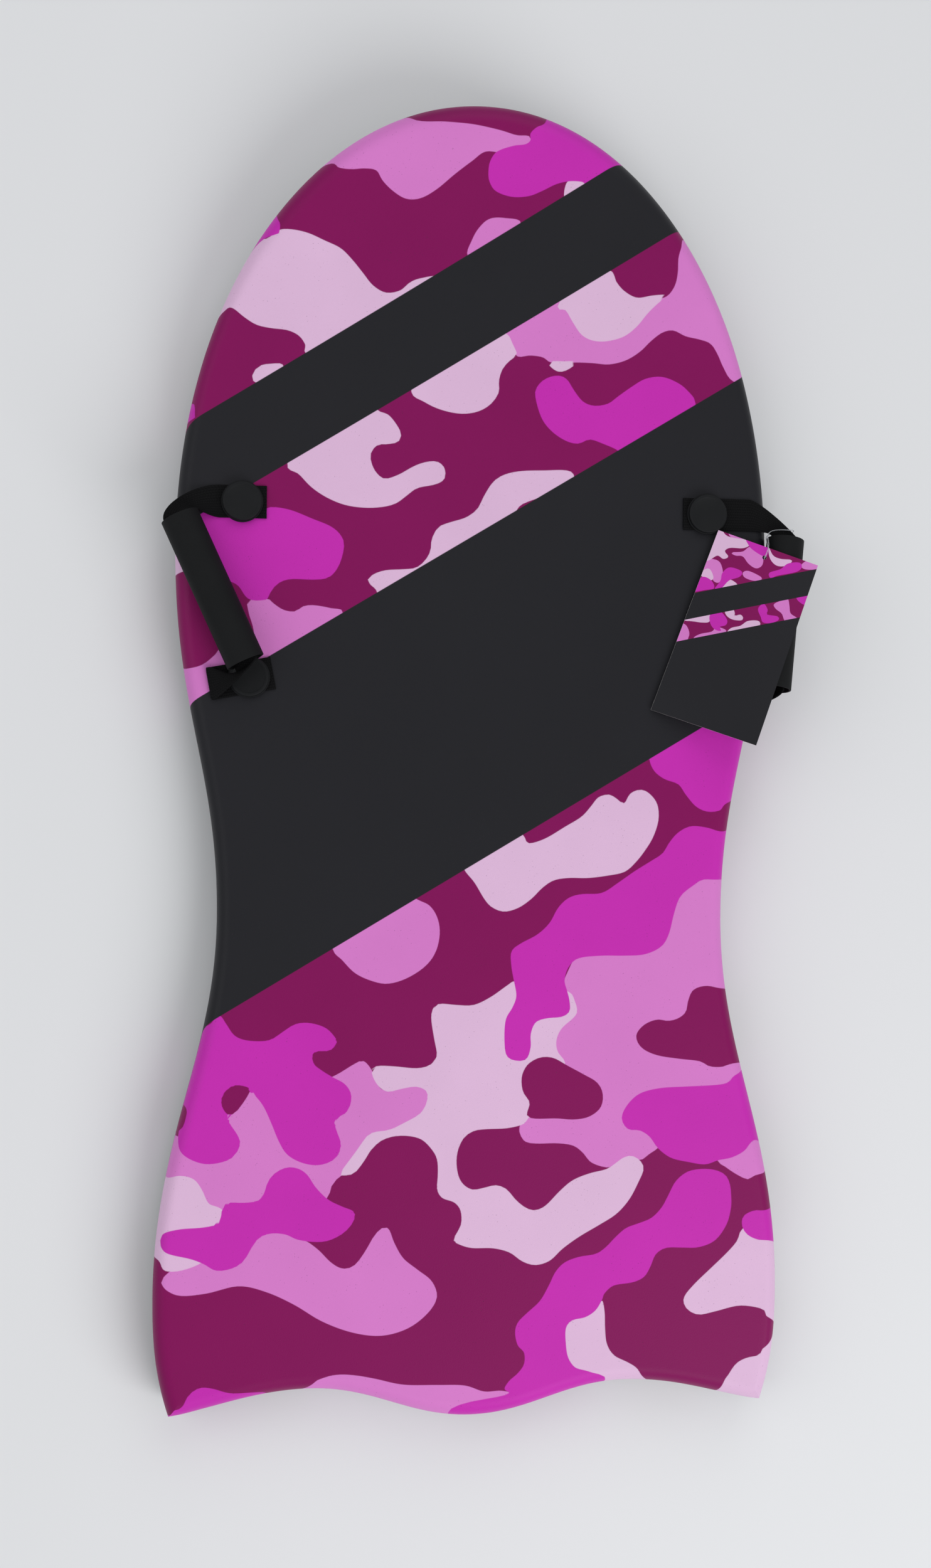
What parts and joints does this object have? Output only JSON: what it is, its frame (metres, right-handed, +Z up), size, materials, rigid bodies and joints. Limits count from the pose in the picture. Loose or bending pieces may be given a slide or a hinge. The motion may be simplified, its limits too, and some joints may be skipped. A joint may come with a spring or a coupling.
{
  "type": "snow surfer board",
  "caption": "Foam board for sliding on snow, with a rounded lifted nose, drawn-in waist, scooped tail, webbing handles with tube grips at its sides and a hang card on a thread.",
  "frame": {"origin": "on the flat bottom, halfway along the board from the nose tip to the middle of the tail", "axes": "+Y towards the nose, +Z up out of the deck, +X towards the rider's right"},
  "size_m": [0.5048, 1, 0.0865],
  "materials": {
    "foam": "white closed-cell foam",
    "printed_deck": "printed film with a fine grain, satin",
    "slick": "smooth dark sheet",
    "moulding": "black moulding, lightly grained",
    "webbing": "black woven webbing",
    "grip": "matte black tube",
    "card": "printed card, satin",
    "thread": "clear thread"
  },
  "bodies": {
    "board": {"foam_core": "foam", "deck_skin": "printed_deck", "slick_bottom": "slick", "left_front_plug": "moulding", "left_rear_plug": "moulding", "right_front_plug": "moulding", "right_rear_plug": "moulding", "left_front_socket": "moulding", "left_rear_socket": "moulding", "right_front_socket": "moulding", "right_rear_socket": "moulding", "left_strap_front": "webbing", "left_strap_rear": "webbing", "right_strap_front": "webbing", "right_strap_rear": "webbing", "tag_card": "card", "tag_loop": "thread"},
    "left_handle": {"left_strap_run": "webbing"},
    "left_grip": {"left_grip_tube": "grip"},
    "right_handle": {"right_strap_run": "webbing"},
    "right_grip": {"right_grip_tube": "grip"}
  },
  "joints": [
    {"name": "left_handle_swing", "type": "hinge", "parent": "board", "child": "left_handle", "pos_m": [-0.17164, 0.13591, 0.07419], "axis": [-0.1791, 0.9524, -0.2467], "range_deg": [0, 90], "deforming": ["left_strap_front", "left_strap_rear"]},
    {"name": "left_grip_spin", "type": "hinge", "parent": "left_handle", "child": "left_grip", "pos_m": [-0.2012, 0.1289, 0.0686], "axis": [-0.4172, 0.9071, -0.0558], "continuous": true},
    {"name": "right_handle_swing", "type": "hinge", "parent": "board", "child": "right_handle", "pos_m": [0.17665, 0.1311, 0.0514], "axis": [-0.0474, -0.9989, 0], "range_deg": [0, 155], "deforming": ["right_strap_front", "right_strap_rear", "tag_card", "tag_loop"]},
    {"name": "right_grip_spin", "type": "hinge", "parent": "right_handle", "child": "right_grip", "pos_m": [0.237, 0.1203, 0.055], "axis": [0.1176, 0.9864, -0.1149], "continuous": true}
  ]
}
